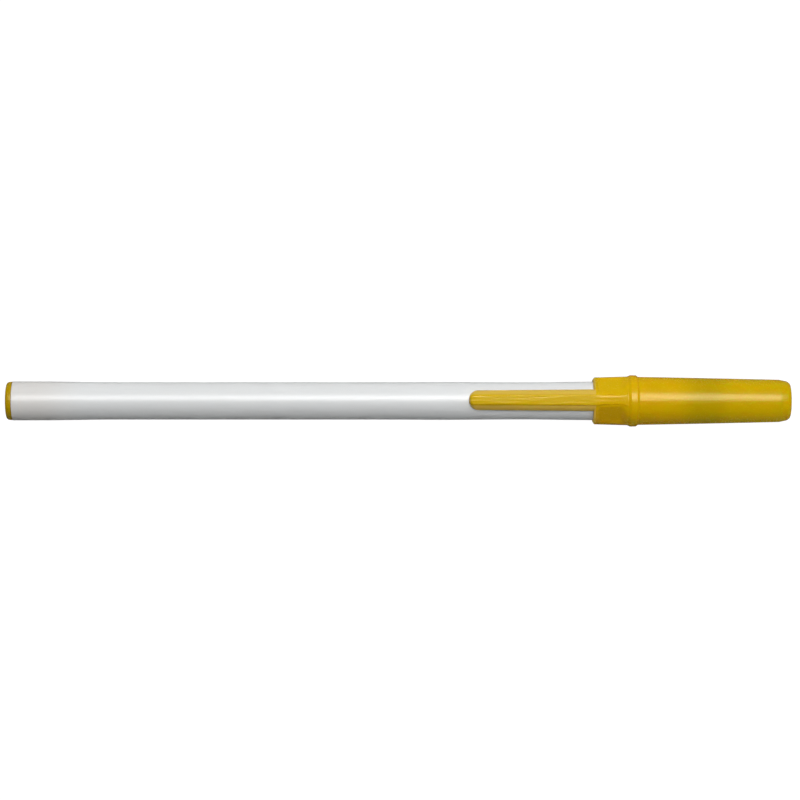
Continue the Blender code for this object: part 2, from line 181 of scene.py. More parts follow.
def drill(piece, radius, start_x, end_x, places):
    """Round holes along X through a piece at these (y, z) places."""
    bits = bmesh.new()
    for y, z in places:
        middle = Vector(((start_x + end_x) / 2, y, z)) * MM
        along_x = Matrix.Translation(middle) @ Matrix.Rotation(math.pi / 2, 4, "Y")
        size = {"radius1": radius * MM, "radius2": radius * MM, "depth": (end_x - start_x) * MM}
        bmesh.ops.create_cone(bits, cap_ends=True, segments=32, matrix=along_x, **size)
    mesh = bpy.data.meshes.new("drill")
    bits.to_mesh(mesh)
    bits.free()
    cutter = bpy.data.objects.new("drill", mesh)
    bpy.context.scene.collection.objects.link(cutter)
    modifier = piece.modifiers.new("holes", "BOOLEAN")
    modifier.object, modifier.operation, modifier.solver = cutter, "DIFFERENCE", "EXACT"
    graph = bpy.context.evaluated_depsgraph_get()
    drilled = bpy.data.meshes.new_from_object(piece.evaluated_get(graph))
    piece.modifiers.clear()
    whole, piece.data = piece.data, drilled
    for leftover in (whole, mesh):
        bpy.data.meshes.remove(leftover)
    drilled.set_sharp_from_angle(angle=SHARP)
    points = np.empty(len(drilled.vertices) * 3, np.float32)
    drilled.vertices.foreach_get("co", points)
    drilled.attributes["rest"].data.foreach_set("vector", points / MM)


def turned(corners, step=2.0):
    """A lathe profile with rounded corners from (x, radius, cut) corners."""
    return [tuple(point) for point in densify(soften(corners), step)]


# Materials


class Shader:
    """Builds a node material. Its coordinates are the piece's own, at rest, in millimetres."""

    def __init__(self, name, own_rest=True):
        self.material = bpy.data.materials.new(name)
        self.material.use_nodes = True
        self.tree = self.material.node_tree
        self.surface = self.tree.nodes["Principled BSDF"]
        if own_rest:
            self.place = self.add("ShaderNodeAttribute", {"attribute_name": "rest"}).outputs["Vector"]
        else:
            in_metres = self.add("ShaderNodeTexCoord").outputs["Object"]
            self.place = self.scaled(in_metres, 1 / MM)

    def add(self, kind, settings=None, inputs=None):
        node = self.tree.nodes.new(kind)
        for name, value in (settings or {}).items():
            setattr(node, name, value)
        for name, value in (inputs or {}).items():
            self.plug(node.inputs[name], value)
        return node

    def plug(self, socket, value):
        if isinstance(value, bpy.types.NodeSocket):
            self.tree.links.new(value, socket)
        else:
            socket.default_value = value

    def set(self, **inputs):
        for name, value in inputs.items():
            self.plug(self.surface.inputs[name.replace("_", " ")], value)

    def scaled(self, vector, factor):
        inputs = {"Vector": vector, "Scale": factor}
        return self.add("ShaderNodeVectorMath", {"operation": "SCALE"}, inputs).outputs["Vector"]

    def noise(self, stretch, detail=3.0, roughness=0.55):
        """Noise from 0 to 1 with these feature sizes in millimetres along x, y and z."""
        scale = tuple(1.0 / size for size in stretch)
        place = self.add("ShaderNodeVectorMath", {"operation": "MULTIPLY"}, {0: self.place, 1: scale})
        inputs = {"Vector": place.outputs["Vector"], "Scale": 1.0, "Detail": detail, "Roughness": roughness}
        return self.add("ShaderNodeTexNoise", None, inputs).outputs["Fac"]

    def remap(self, value, low, high, to_low, to_high):
        inputs = {"Value": value, "From Min": low, "From Max": high, "To Min": to_low, "To Max": to_high}
        return self.add("ShaderNodeMapRange", None, inputs).outputs["Result"]

    def math(self, operation, *values):
        inputs = dict(enumerate(values))
        return self.add("ShaderNodeMath", {"operation": operation}, inputs).outputs["Value"]

    def along(self, axis="X"):
        """The place's own coordinate."""
        return self.add("ShaderNodeSeparateXYZ", None, {"Vector": self.place}).outputs[axis]

    def mix(self, one, other, share):
        """A colour between these two."""
        node = self.add("ShaderNodeMix", {"data_type": "RGBA"})
        for socket, value in ((node.inputs[0], share), (node.inputs[6], one), (node.inputs[7], other)):
            self.plug(socket, value)
        return node.outputs[2]

    def ramp(self, value, stops, interpolation="EASE"):
        """A colour that runs through (place, colour) stops."""
        low, high = stops[0][0], stops[-1][0]
        node = self.add("ShaderNodeValToRGB", None, {"Fac": self.remap(value, low, high, 0.0, 1.0)})
        band = node.color_ramp
        band.interpolation = interpolation
        while len(band.elements) < len(stops):
            band.elements.new(0.5)
        for element, (place, colour) in zip(band.elements, stops):
            element.position = (place - low) / (high - low)
            element.color = (*colour, 1.0)
        return node.outputs["Color"]

    def tint(self, colour, amount, low=0.9, high=1.1):
        """The colour made darker and lighter by a 0 to 1 value."""
        return self.scaled(colour, self.remap(amount, 0.0, 1.0, low, high))

    def bump(self, height, size, below=None):
        """A bump of this size in millimetres, on top of another."""
        inputs = {"Height": height, "Distance": size * MM, "Strength": 1.0}
        if below is not None:
            inputs["Normal"] = below
        return self.add("ShaderNodeBump", None, inputs).outputs["Normal"]


def white_plastic():
    """Satin moulded polypropylene: cool white, faintly streaked along the draw, with a painted yellowish glow
    over the yellow plug, its colour seen back through the wall.
    """
    shader = Shader("white_plastic")
    cool = (0.83, 0.845, 0.845)
    # painted light: the barrel turns yellowish over the plug, standing for the plug's colour coming back
    # through the white wall
    painted_plug_glow = (0.80, 0.785, 0.76)
    base = shader.ramp(shader.along(), [(0.0, painted_plug_glow), (5.0, painted_plug_glow), (16.0, cool), (20.0, cool)])
    flow = shader.noise((24.0, 2.2, 2.2))
    grain = shader.noise((0.35, 0.35, 0.35), detail=2.0)
    streaks = shader.noise((9.0, 0.12, 0.12))
    shader.set(
        Base_Color=shader.tint(base, flow, 0.975, 1.02),
        Roughness=shader.remap(streaks, 0.3, 0.7, 0.26, 0.36),
        IOR=1.49,
        Subsurface_Weight=0.12,
        Subsurface_Radius=(1.0, 0.95, 0.9),
        Subsurface_Scale=0.6 * MM,
        Normal=shader.bump(streaks, 0.004, shader.bump(grain, 0.003)),
    )
    return shader.material


def yellow_plastic():
    """Golden polypropylene, slightly translucent.

    Its colour carries painted light and shade. A painted glow brightens it where the white barrel lies under
    the wall, painted shade darkens it most over the empty hollow and on the rear plug, and turns the skirt
    and clip browner towards -Y, away from the lights. A painted pale reflection lies on the clip's flanks and
    round the cap's mouth, brightened on the flanks' shaded -Y side by painted light coming through them.
    """
    shader = Shader("yellow_plastic")
    # painted shade: on_plug is the yellow darkened for the rear plug, whose end catches the light only at a
    # grazing angle
    on_plug = (0.50, 0.32, 0.0)
    lit = (0.70, 0.455, 0.0)
    # painted see-through light: on_skirt and over_barrel are brighter where the white barrel lies under the
    # wall, hollow is painted shade over the empty space, and over_seal lies between
    on_skirt = (0.745, 0.455, 0.0)
    over_barrel = (0.72, 0.44, 0.0)
    hollow = (0.55, 0.375, 0.0)
    over_seal = (0.65, 0.43, 0.0)
    # painted shade: browner yellow for the skirt and clip on the -Y side, away from the lights
    painted_shade_on_skirt = (0.735, 0.40, 0.0, 1.0)
    # painted reflection: a pale yellow for the clip's flanks and the cap's mouth chamfer
    painted_pale_reflection = (0.73, 0.49, 0.065, 1.0)
    # painted light: the flanks' pale colour made brighter on the shaded -Y side, as light coming through them
    painted_glow_on_low_flank = (0.96, 0.62, 0.07, 1.0)
    x = shader.along()
    # Along the cap the colour runs through painted light and shade: a glow over the white barrel, and shade
    # over the hollow
    base = shader.ramp(
        x,
        [
            (REAR_X, on_plug),
            (PLUG_END_X, on_plug),
            (CLIP_TIP_X - 2.0, lit),
            (MOUTH_X - 0.1, lit),
            (MOUTH_X + 1.5, on_skirt),
            (MOUTH_X + 6.0, on_skirt),
            (MOUTH_X + 10.0, over_barrel),
            (MOUTH_X + 15.0, over_barrel),
            (MOUTH_X + 20.5, hollow),
            (MOUTH_X + 22.5, hollow),
            (MOUTH_X + 27.0, over_seal),
            (END_X, over_seal),
        ],
    )
    # Where the painted pale reflection goes: the clip's flanks and the cap's mouth chamfer, off the rib's
    # top; the same mask roughens them and calms their ripple
    past_tip = shader.remap(x, CLIP_TIP_X - 1.0, CLIP_TIP_X, 0.0, 1.0)
    before_skirt = shader.remap(x, MOUTH_X + 0.3, MOUTH_X + 0.45, 1.0, 0.0)
    beside_rib = shader.remap(shader.math("ABSOLUTE", shader.along("Y")), 0.98, 1.12, 0.0, 1.0)
    below_rib = shader.remap(shader.along("Z"), 4.35, 4.1, 0.0, 1.0)
    off_rib = shader.math("MAXIMUM", beside_rib, below_rib)
    flank = shader.math("MULTIPLY", shader.math("MULTIPLY", past_tip, before_skirt), off_rib)
    # painted shade mask: rises towards -Y, the side away from the lights
    low = shader.remap(shader.along("Y"), -0.5, -2.5, 0.0, 1.0)
    behind_flange = shader.remap(x, FLANGE_X - 1.0, FLANGE_X + 0.5, 1.0, 0.0)
    clip_or_skirt = shader.math("MULTIPLY", past_tip, behind_flange)
    # painted shade: the clip and skirt turn browner towards -Y
    base = shader.mix(base, painted_shade_on_skirt, shader.math("MULTIPLY", low, clip_or_skirt))
    # painted reflection: the flanks and mouth turn pale, and painted light brightens the flanks towards -Y
    base = shader.mix(base, shader.mix(painted_pale_reflection, painted_glow_on_low_flank, low), flank)
    cloud = shader.noise((3.0, 1.5, 1.5))
    grain = shader.noise((0.3, 0.3, 0.3), detail=2.0)
    ripple = shader.noise((6.0, 0.42, 0.42), detail=1.0)
    strong = shader.remap(x, MOUTH_X, MOUTH_X + 5.0, 1.0, 0.3)
    strong = shader.math("MULTIPLY", strong, shader.remap(flank, 0.0, 1.0, 1.0, 0.2))
    satin = shader.math("MULTIPLY", flank, 0.25)
    shader.set(
        Base_Color=shader.tint(base, cloud, 0.95, 1.05),
        Roughness=shader.math("ADD", shader.remap(grain, 0.3, 0.7, 0.2, 0.3), satin),
        IOR=1.49,
        Specular_IOR_Level=0.4,
        Specular_Tint=(1.0, 0.85, 0.5, 1.0),
        Subsurface_Weight=shader.remap(x, MOUTH_X + 6.0, MOUTH_X + 9.0, 0.15, 0.5),
        Subsurface_Radius=(1.0, 0.25, 0.02),
        Subsurface_Scale=1.2 * MM,
        Normal=shader.bump(shader.math("MULTIPLY", ripple, strong), 0.07, shader.bump(grain, 0.003)),
    )
    return shader.material


def nib_felt():
    """Bonded fibre, drawn lengthwise and stained amber by the iodine solution."""
    shader = Shader("nib_felt")
    strands = shader.noise((2.5, 0.06, 0.06), detail=4.0)
    shader.set(
        Base_Color=shader.ramp(strands, [(0.25, (0.22, 0.09, 0.015)), (0.75, (0.66, 0.36, 0.09))]),
        Roughness=0.9,
        Sheen_Weight=0.3,
        Normal=shader.bump(strands, 0.05),
    )
    return shader.material


def nose_plastic():
    """The white of the barrel, stained towards the nib."""
    shader = Shader("nose_plastic")
    clean = (0.80, 0.81, 0.80)
    stained = (0.66, 0.47, 0.22)
    stain = shader.noise((1.2, 0.8, 0.8))
    grain = shader.noise((0.3, 0.3, 0.3), detail=2.0)
    stops = [(NOSE_X, clean), (NOSE_TIP_X - 2.5, clean), (NOSE_TIP_X, stained)]
    base = shader.ramp(shader.along(), stops)
    shader.set(
        Base_Color=shader.tint(base, stain, 0.93, 1.03),
        Roughness=shader.remap(grain, 0.3, 0.7, 0.3, 0.4),
        IOR=1.49,
        Subsurface_Weight=0.15,
        Subsurface_Radius=(1.0, 0.9, 0.8),
        Subsurface_Scale=0.6 * MM,
        Normal=shader.bump(grain, 0.004),
    )
    return shader.material


def reservoir_fibre():
    """Crimped fibre rod soaked in amber solution."""
    shader = Shader("reservoir_fibre", own_rest=False)
    strands = shader.noise((4.0, 0.1, 0.1), detail=4.0)
    shader.set(
        Base_Color=shader.ramp(strands, [(0.25, (0.30, 0.13, 0.025)), (0.75, (0.70, 0.42, 0.13))]),
        Roughness=0.85,
        Normal=shader.bump(strands, 0.06),
    )
    return shader.material


def clear_film():
    """Thin clear wrap with faint creases along its length."""
    shader = Shader("clear_film", own_rest=False)
    creases = shader.noise((12.0, 0.5, 0.5))
    shader.set(
        Base_Color=(0.92, 0.92, 0.90, 1.0),
        Roughness=shader.remap(creases, 0.3, 0.7, 0.05, 0.2),
        Alpha=0.3,
        Normal=shader.bump(creases, 0.02),
    )
    return shader.material


# The pen

BARREL_BORE = 2.76
PLUG_BORE = 2.98
PLUG_BORE_END_X = 10.4
BARREL_LIP = 0.14
BARREL_RIB = -0.26  # the bore's ribs stand this far in
BARREL_RIBS_X, BARREL_RIBS_END_X = 25.0, 115.5
PLUG_STEM = 2.93
PLUG_GROOVE = -0.2
NIB_BORE = 1.15
NIB_BORE_GROOVE = 0.18


def barrel_radius(x):
    """Fatter over the plug and under the cap, with the slight swell and waist that moulding leaves."""
    rear = 0.15 * (1.0 - eased((x - 6.0) / 14.0))
    front = 0.11 * eased((x - 98.0) / 15.0)
    swell = 0.05 * math.exp(-(((x - 83.0) / 6.0) ** 2))
    waist = -0.025 * math.exp(-(((x - 99.0) / 6.0) ** 2))
    return 3.56 + rear + front + swell + waist


def make_barrel(material):
    outer = [(x, barrel_radius(x)) for x in np.arange(BARREL_X + 1.0, BARREL_END_X - 1.0, 1.0)]
    rear_radius, front_radius = barrel_radius(BARREL_X), barrel_radius(BARREL_END_X)
    rear = soften(
        [
            (BARREL_X, 3.2, 0.0),
            (BARREL_X, rear_radius, BARREL_LIP),
            (BARREL_X + 0.9, rear_radius, 0.0),
        ]
    )
    front = soften(
        [
            (BARREL_END_X - 0.9, front_radius, 0.0),
            (BARREL_END_X, front_radius, 2 * BARREL_LIP),
            (BARREL_END_X, 2.95, 0.2),
            (BARREL_END_X - 0.4, BARREL_BORE, 0.0),
        ]
    )
    profile = [tuple(point) for point in rear] + outer + [tuple(point) for point in front]
    profile += [(BARREL_RIBS_END_X + 1.5, BARREL_BORE)]
    profile += [(x, BARREL_BORE, BARREL_RIB) for x in (BARREL_RIBS_END_X, 70.0, BARREL_RIBS_X)]
    profile += [(BARREL_RIBS_X - 1.0, BARREL_BORE), (PLUG_BORE_END_X + 0.4, BARREL_BORE)]
    profile += [(PLUG_BORE_END_X, PLUG_BORE), (BARREL_X + 0.3, PLUG_BORE)]
    piece = lathe("barrel_tube", profile, material, "white_plastic", ribs=(6, 0.12))
    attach(piece, "pen")
    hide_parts("barrel")


def make_plug(material):
    """Button head with a gate mark in the middle of its face, and the hollow grooved stem behind it."""
    profile = turned(
        [
            (REAR_X + 0.06, 0.0, 0.0),
            (REAR_X + 0.06, 0.38, 0.05),
            (REAR_X, 0.52, 0.06),
            (REAR_X, 3.1, 0.05),
            (REAR_X + 0.06, 3.42, 0.2),
            (REAR_X + 0.42, 3.62, 0.2),
            (BARREL_X - 0.03, 3.66, 0.04),
            (BARREL_X - 0.03, PLUG_STEM, 0.03),
            (PLUG_END_X - 0.5, PLUG_STEM, 0.1),
            (PLUG_END_X, 2.7, 0.1),
            (PLUG_END_X, 2.15, 0.1),
            (BARREL_X + 0.4, 2.1, 0.2),
            (BARREL_X + 0.4, 0.0, 0.0),
        ]
    )
    grooved = [
        (x, radius, PLUG_GROOVE if x > BARREL_X + 0.3 and radius > 2.75 else 0.0) for x, radius in profile
    ]
    piece = lathe("rear_plug", grooved, material, "yellow_plastic", ribs=(3, 0.12))
    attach(piece, "pen")
    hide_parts("end_plug")


def make_nose(material):
    """Stepped holder for the nib, with air grooves along its bore."""
    collar_x = BARREL_END_X + 0.04
    profile = turned(
        [
            (NOSE_X, 1.9, 0.0),
            (NOSE_X, 2.5, 0.1),
            (NOSE_X + 0.6, 2.7, 0.1),
            (collar_x, 2.7, 0.02),
            (collar_x, 3.3, 0.08),
            (NOSE_X + 13.5, 3.3, 0.12),
            (NOSE_X + 13.6, 3.0, 0.3),
            (NOSE_X + 15.2, 2.5, 0.8),
            (NOSE_X + 17.1, 1.8, 0.8),
            (NOSE_TIP_X - 0.8, 1.8, 0.3),
            (NOSE_TIP_X, 1.5, 0.12),
        ]
    )
    profile += [(NOSE_TIP_X, 1.36)]
    profile += [(x, NIB_BORE, NIB_BORE_GROOVE) for x in (NOSE_TIP_X - 0.02, NOSE_TIP_X - 4.0, NOSE_X + 3.6)]
    profile += [(NOSE_X + 3.5, 1.9)]
    piece = lathe("nib_holder", profile, material, "white_plastic", ribs=(4, 0.22))
    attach(piece, "pen")
    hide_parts("nose_section")


def make_nib(material):
    profile = turned(
        [
            (NIB_X, 0.0, 0.0),
            (NIB_X, 1.1, 0.15),
            (NIB_TIP_X - 1.9, 1.1, 0.3),
            (NIB_TIP_X - 0.85, 0.92, 0.4),
            (NIB_TIP_X - 0.05, 0.42, 0.35),
            (NIB_TIP_X, 0.0, 0.0),
        ],
        step=1.0,
    )
    piece = lathe("marking_nib", profile, material, "nib_felt")
    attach(piece, "pen")
    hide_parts("fibre_nib")


# The cap and its clip, one moulding

MOUTH_RADIUS = 4.46
SKIRT_END_RADIUS = 4.64
BODY_RADIUS = 4.57
BODY_END_RADIUS = 4.03
BORE_RADIUS = 3.86
BORE_RIB = 0.12
BORE_RIBS_X, BORE_RIBS_END_X = 120.3, 128.2
SHELL_END_BORE = 3.05
MOUTH_LEAD_IN = 0.06
AIR_HOLES = 4
AIR_HOLE_RADIUS = 0.35
AIR_HOLE_DISTANCE = 2.75  # from the axis
SCOOP_ANGLE = math.radians(44.5)
SCOOP_DISTANCE = 3.99  # from the axis to the scoop's flat
MOUTH_CHAMFER = 0.34
MOUTH_CHAMFER_DROP = 0.44
MOUTH_STATIONS = (0.0, 0.03, 0.25, 0.5, 0.7, 0.85, 1.0)  # shares of the chamfer
FLANGE_X = MOUTH_X + 6.6
FLANGE_END_X = FLANGE_X + 2.1
FILLET_OFFSETS = (0.03, 0.08, 0.15, 0.25)
ROUND_COLUMNS = 112
CLIP_WIDENING = 0.19  # half width gained from tip to mouth
CLIP_DEEPENING = 0.08  # share of the depth gained from mouth to tip
CLIP_ROLL = math.tan(math.radians(4))  # how much higher its +Y side is
TIP_COLUMNS = 28
STATIONS = 48


def clip_levels():
    """The clip's half section as (half width, tip setback, depth, nose length) points, each with its cut.

    The upper points run from the widest edge to the middle of the rib's top, the lower ones to the middle
    below.
    """
    section = soften(
        [
            (0.0, 1.80, 0.82, 0.0, 0.0),
            (1.00, 0.75, 0.90, 1.00, 0.20),
            (1.70, 0.12, 1.33, 1.66, 0.06),
            (1.87, 0.0, 1.34, 1.80, 0.06),
            (1.70, 0.08, 0.92, 1.60, 0.20),
            (1.42, 0.16, 0.56, 1.30, 0.15),
            (1.14, 0.24, 0.33, 1.00, 0.10),
            (0.94, 0.31, 0.20, 0.78, 0.06),
            (0.74, 0.50, 0.02, 0.53, 0.07),
            (0.0, 1.03, 0.0, 0.0, 0.0),
        ],
        steps=5,
    )
    widest = max(range(len(section)), key=lambda index: section[index][0])
    upper = densify(section[widest:], 0.14)
    lower = densify(section[widest::-1], 0.14)
    return upper, resample(lower, len(upper))


def along_clip(x):
    """0 at the clip's tip, 1 from the cap's mouth on."""
    return min(1.0, (x - CLIP_TIP_X) / (MOUTH_X - CLIP_TIP_X))


def clip_half_width(half_width, x):
    return half_width + CLIP_WIDENING * along_clip(x) * min(1.0, half_width / 0.7)


def clip_height(depth, x):
    return CLIP_TOP - depth * (1.0 + CLIP_DEEPENING * (1.0 - along_clip(x)))


def nub(x, y):
    """How far the clip's nub reaches down below its underside."""
    away = ((x - CLIP_TIP_X - 2.2) / 1.3) ** 2 + (y / 1.0) ** 2
    return 0.3 * max(0.0, 1.0 - away) ** 0.5 if away < 1.0 else 0.0


def clip_outline(skin, level, below):
    """One level's line round the free clip, from the mouth round the tip and back."""
    half_width, setback, depth, nose = level
    centre_x = CLIP_TIP_X + setback + nose
    square = 2.9 - 0.9 * eased((half_width - 0.9) / 0.9)
    line = []
    for station in range(STATIONS):
        x = MOUTH_X + (centre_x - MOUTH_X) * station / STATIONS
        line.append((x, clip_half_width(half_width, x)))
    for step in range(TIP_COLUMNS + 1):
        angle = math.pi / 2 * (1.0 - step / TIP_COLUMNS * 2.0)
        along = abs(math.cos(angle)) ** (2.0 / square)
        across = math.copysign(abs(math.sin(angle)) ** (2.0 / square), math.sin(angle))
        x = centre_x - nose * along
        line.append((x, clip_half_width(half_width, x) * across))
    line += [(x, -y) for x, y in line[STATIONS - 1 :: -1]]
    points = []
    for x, y in line:
        drop = nub(x, y) if below else 0.0
        points.append((x, y, clip_height(depth, x) + CLIP_ROLL * y - drop))
    if half_width > 1e-6:
        return skin.add(points)
    middle = skin.add(points[: STATIONS + 1])
    return middle + [middle[-1]] * (TIP_COLUMNS - 1) + middle[::-1]


def smooth_max(one, other, width):
    """The larger of the two, rounded over where they cross."""
    share = min(1.0, max(0.0, 0.5 + 0.5 * (one - other) / width))
    return other + (one - other) * share + width * share * (1.0 - share)


def skirt_radius(x):
    return MOUTH_RADIUS + (SKIRT_END_RADIUS - MOUTH_RADIUS) * (x - MOUTH_X) / (FLANGE_X - MOUTH_X)


def mouth_lip(x):
    """How far the chamfer round the mouth falls below the skirt."""
    into = max(0.0, 1.0 - (x - MOUTH_X) / MOUTH_CHAMFER)
    return MOUTH_CHAMFER_DROP * 1.25 * into * into / (into + 0.25)


def scooped_radius(angle, x):
    """The skirt's radius here: a shallow flat scoop lies on either side of the clip's root."""
    radius = skirt_radius(x)
    away = abs(angle) - SCOOP_ANGLE
    if abs(away) > 1.0:
        return radius
    chord = SCOOP_DISTANCE / math.cos(away)
    share = eased((x - MOUTH_X - 0.35) / 0.8) * (1.0 - eased((x - FLANGE_X + 1.7) / 1.7))
    return radius - share * (radius + smooth_max(-radius, -chord, 0.06))


def skirt_height(y, x):
    """How high the skirt's surface is at this place beside the middle."""
    angle = 0.0
    for _ in range(6):
        radius = scooped_radius(angle, x)
        angle = math.asin(min(1.0, y / radius))
    return math.sqrt(radius**2 - y**2)


def root_depth(depth, y, x):
    """How far the root is below the clip's top: the free section eases into a narrow rounded ridge."""
    into = x - MOUTH_X
    flare = 1.0 + 0.35 * eased((into - 5.2) / 1.4)
    shoulder = max(0.0, y / flare - 0.74)
    ridge = 0.02 + 0.03 * min(1.0, y / 0.74) ** 2 + 1.5 * shoulder / (1.0 + 0.12 / max(shoulder, 1e-6))
    return depth + (ridge - depth) * eased(into / 2.6)


def skirt_ring(x, upper):
    """A ring of the skirt with the clip's root standing out of it, from +Y over the top and on round."""
    roll = CLIP_ROLL * (1.0 + 0.4 * eased((x - MOUTH_X) / 3.0))
    side, other_side = [], []
    for half_width, _, depth, _ in upper:
        y = clip_half_width(half_width, x)
        bar = CLIP_TOP - root_depth(depth, y, x)
        skirt = skirt_height(y, x) - mouth_lip(x) * eased((y - 1.5) / 0.4)  # only the flank meets the chamfer
        side.append((y, smooth_max(bar + roll * y, skirt, 0.07)))
        other_side.append((-y, smooth_max(bar - roll * y, skirt, 0.07)))
    edge_y = side[0][0]
    edge_bar = CLIP_TOP - root_depth(upper[0][2], edge_y, x)
    outside = []
    for offset in FILLET_OFFSETS:
        y = edge_y + offset
        outside.append((y, smooth_max(edge_bar - 4.0 * offset, skirt_height(y, x) - mouth_lip(x), 0.05)))
    start = math.atan2(*outside[-1])
    ring = [(x, y, z) for y, z in side]
    ring += [(x, y, z) for y, z in other_side[-2::-1]]
    ring += [(x, -y, z) for y, z in outside]
    for step in range(1, ROUND_COLUMNS + 1):
        angle = -start - (math.tau - 2 * start) * step / (ROUND_COLUMNS + 1)
        radius = scooped_radius((angle + math.pi) % math.tau - math.pi, x) - mouth_lip(x)
        ring.append((x, radius * math.sin(angle), radius * math.cos(angle)))
    ring += [(x, y, z) for y, z in outside[::-1]]
    return ring


def ring_angles(levels):
    """The angle of each column of a skirt ring, for rings that are plainly round."""
    edge = clip_half_width(levels[0][0], MOUTH_X)
    side = [math.asin(clip_half_width(level[0], MOUTH_X) / MOUTH_RADIUS) for level in levels]
    outside = [math.asin((edge + offset) / MOUTH_RADIUS) for offset in FILLET_OFFSETS]
    start = outside[-1]
    angles = side + [-angle for angle in side[-2::-1]] + [-angle for angle in outside]
    for step in range(1, ROUND_COLUMNS + 1):
        angles.append(-start - (math.tau - 2 * start) * step / (ROUND_COLUMNS + 1))
    return angles + outside[::-1]


def round_ring(x, radius, angles, rib=0.0):
    """A plainly round ring, or one with six ribs standing in from it."""
    ring = []
    for angle in angles:
        size = radius - rib * ribbed(angle, 6, 0.13)
        ring.append((x, size * math.sin(angle), size * math.cos(angle)))
    return ring


def make_cap(material):
    """Shell and clip as one skin: the clip's outside, the skirt, ring and body, then back along the bore."""
    skin = Skin()
    upper, lower = clip_levels()
    top_lines = [clip_outline(skin, level, below=False) for level in upper]
    under_lines = [top_lines[0]] + [clip_outline(skin, level, below=True) for level in lower[1:]]
    for lines in (top_lines, under_lines):
        for one, other in zip(lines, lines[1:]):
            skin.strip(one, other, closed=False)
    top_root = [line[0] for line in top_lines] + [line[-1] for line in top_lines[-2::-1]]
    under_root = [line[0] for line in under_lines] + [line[-1] for line in under_lines[-2::-1]]

    stations = [MOUTH_X + MOUTH_CHAMFER * share for share in MOUTH_STATIONS]
    stations += list(np.linspace(MOUTH_X + 0.5, FLANGE_X - 0.35, 24)) + [FLANGE_X - 0.2]
    mouth_ring = skin.add(skirt_ring(stations[0], upper)[len(top_root) :])
    rings = [top_root + mouth_ring]
    rings += [skin.add(skirt_ring(x, upper)) for x in stations[1:]]

    angles = ring_angles(upper)
    flange = turned(
        [
            (FLANGE_X - 0.12, SKIRT_END_RADIUS, 0.0),
            (FLANGE_X - 0.02, SKIRT_END_RADIUS, 0.06),
            (FLANGE_X + 0.54, FLANGE_RADIUS, 0.10),
            (FLANGE_X + 1.65, FLANGE_RADIUS - 0.03, 0.08),
            (FLANGE_END_X - 0.04, BODY_RADIUS - 0.02, 0.05),
            (FLANGE_END_X + 0.06, BODY_RADIUS, 0.03),
            (FLANGE_END_X + 0.5, BODY_RADIUS - 0.01, 0.0),
        ],
        step=0.3,
    )
    body = []
    for x in np.arange(FLANGE_END_X + 1.0, SHELL_END_X - 0.5, 1.0):
        share = (x - FLANGE_END_X) / (SHELL_END_X - FLANGE_END_X)
        body.append((x, BODY_RADIUS - (BODY_RADIUS - BODY_END_RADIUS) * share**1.12))
    end = turned(
        [
            (SHELL_END_X - 0.3, BODY_END_RADIUS + 0.006, 0.0),
            (SHELL_END_X, BODY_END_RADIUS, 0.03),
            (SHELL_END_X, SHELL_END_BORE, 0.1),
            (SHELL_END_X - 1.0, SHELL_END_BORE, 0.0),
        ]
    )
    for x, radius in flange + body + end:
        rings.append(skin.add(round_ring(x, radius, angles)))

    angles = ring_angles(lower)
    stop_x = BARREL_END_X + 0.3
    bore = [
        (stop_x + 12.4, SHELL_END_BORE, 0.0),
        (stop_x, 3.45, 0.0),
        (stop_x, BORE_RADIUS, 0.0),
        (BORE_RIBS_END_X + 0.8, BORE_RADIUS, 0.0),
        (BORE_RIBS_END_X, BORE_RADIUS, BORE_RIB),
        (BORE_RIBS_X, BORE_RADIUS, BORE_RIB),
        (BORE_RIBS_X - 0.8, BORE_RADIUS, 0.0),
        (MOUTH_X + 0.3, BORE_RADIUS, 0.0),
        (MOUTH_X + 0.08, BORE_RADIUS + 0.4 * MOUTH_LEAD_IN, 0.0),
        (MOUTH_X, BORE_RADIUS + MOUTH_LEAD_IN, 0.0),
    ]
    for x, radius, rib in bore:
        rings.append(skin.add(round_ring(x, radius, angles, rib)))
    rings.append(under_root + mouth_ring)
    for one, other in zip(rings, rings[1:]):
        skin.strip(one, other)
    piece = skin.piece("cap_moulding", material, "yellow_plastic")
    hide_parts("cap_shell", "cap_clip")
    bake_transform(piece)


def make_seal(material):
    """The cap's closed end: a bevelled head with air holes, and a cup behind it that closes on the nose."""
    head_x = SHELL_END_X + 0.01
    profile = turned(
        [
            (SEAL_X + 7.7, 0.0, 0.0),
            (SEAL_X + 7.7, 1.85, 0.3),
            (SEAL_X + 0.2, 1.85, 0.05),
            (SEAL_X, 1.97, 0.05),
            (SEAL_X, 2.35, 0.08),
            (SEAL_X + 7.8, 2.35, 0.2),
            (SEAL_X + 8.2, 3.0, 0.1),
            (head_x, 3.0, 0.05),
            (head_x, BODY_END_RADIUS - 0.02, 0.03),
            (END_X - 0.55, 3.70, 0.25),
            (END_X, 3.25, 0.3),
            (END_X, 0.6, 0.05),
            (END_X - 0.05, 0.45, 0.05),
            (END_X - 0.05, 0.0, 0.0),
        ]
    )
    piece = lathe("cap_end_seal", profile, material, "yellow_plastic")
    turns = [math.tau * (index + 0.5) / AIR_HOLES for index in range(AIR_HOLES)]
    holes = [(AIR_HOLE_DISTANCE * math.sin(turn), AIR_HOLE_DISTANCE * math.cos(turn)) for turn in turns]
    drill(piece, AIR_HOLE_RADIUS, SEAL_X + 6.0, END_X + 1.0, holes)
    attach(piece, "cap")
    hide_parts("cap_inner_seal")


# The studio

CAMERA_DISTANCE = 0.55
FRAME_WIDTH = 0.1525  # what the picture is wide at the pen's axis
SENSOR = 36.0
MIDDLE_X = 0.07491
CAMERA_LEAN = math.radians(-2.3)  # towards -Y
CAMERA_OFFSET = 0.00017
FLOOR_HALF_SIZE = 1.5
FLOOR_DIFFUSE = (0.82, 0.82, 0.82)
FLOOR_MIRRORED = (0.06, 0.06, 0.06)  # how bright a floor the glossy plastic mirrors
AMBIENT = 0.03


